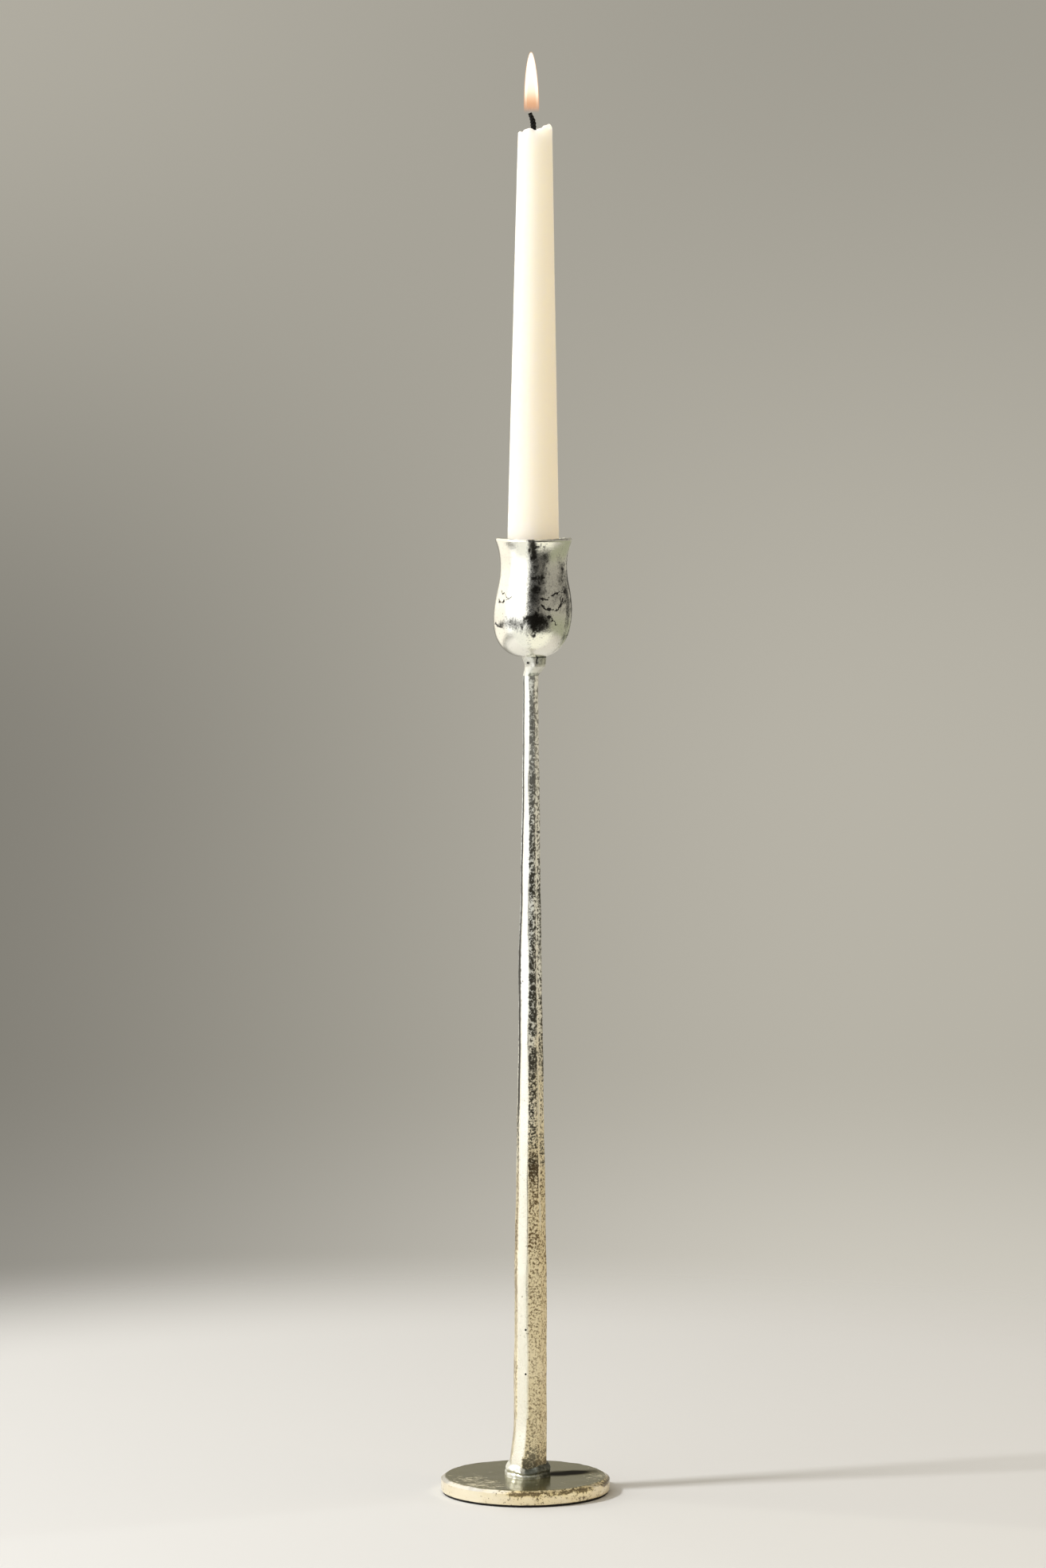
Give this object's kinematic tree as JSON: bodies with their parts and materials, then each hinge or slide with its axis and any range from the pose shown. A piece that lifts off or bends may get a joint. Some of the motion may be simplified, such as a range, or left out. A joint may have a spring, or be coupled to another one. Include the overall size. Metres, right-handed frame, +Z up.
{
  "type": "taper candle holder",
  "caption": "Tall candle holder for one taper: round foot plate, forged tapering stem and a tulip cup with a flared lip, holding a lift-out candle.",
  "frame": {"origin": "middle of the foot's underside, on the surface the holder stands on", "axes": "+Z up along the stem, +X to the right and -Y towards the viewer of the picture"},
  "size_m": [0.0762, 0.0762, 0.6187],
  "materials": {
    "pad_felt": "thin black felt",
    "leafed_plate": "champagne leaf over steel, glossy and lightly scratched on top, aged on the edge",
    "leafed_weld": "silver leaf over lumpy weld metal",
    "leafed_stem": "silver to champagne leaf over hammered iron, dark specks where the leaf has worn",
    "leafed_cup": "silver leaf with dark pits and cracks, semi-gloss",
    "dark_iron": "bare dark iron inside the cup",
    "ivory_wax": "smooth ivory wax, softly translucent",
    "burnt_cotton": "burnt cotton wick"
  },
  "bodies": {
    "holder": {"foot_pad": "pad_felt", "foot_plate": "leafed_plate", "foot_weld": "leafed_weld", "stem": "leafed_stem", "neck_weld": "leafed_weld", "neck_boss": "leafed_weld", "cup": "leafed_cup", "candle_socket": "dark_iron"},
    "candle": {"candle_wax": "ivory_wax", "wick": "burnt_cotton"}
  },
  "joints": [
    {"name": "candle_lift", "type": "slide", "parent": "holder", "child": "candle", "axis": [0, 0, 1], "range_m": [0, 0.055]}
  ]
}
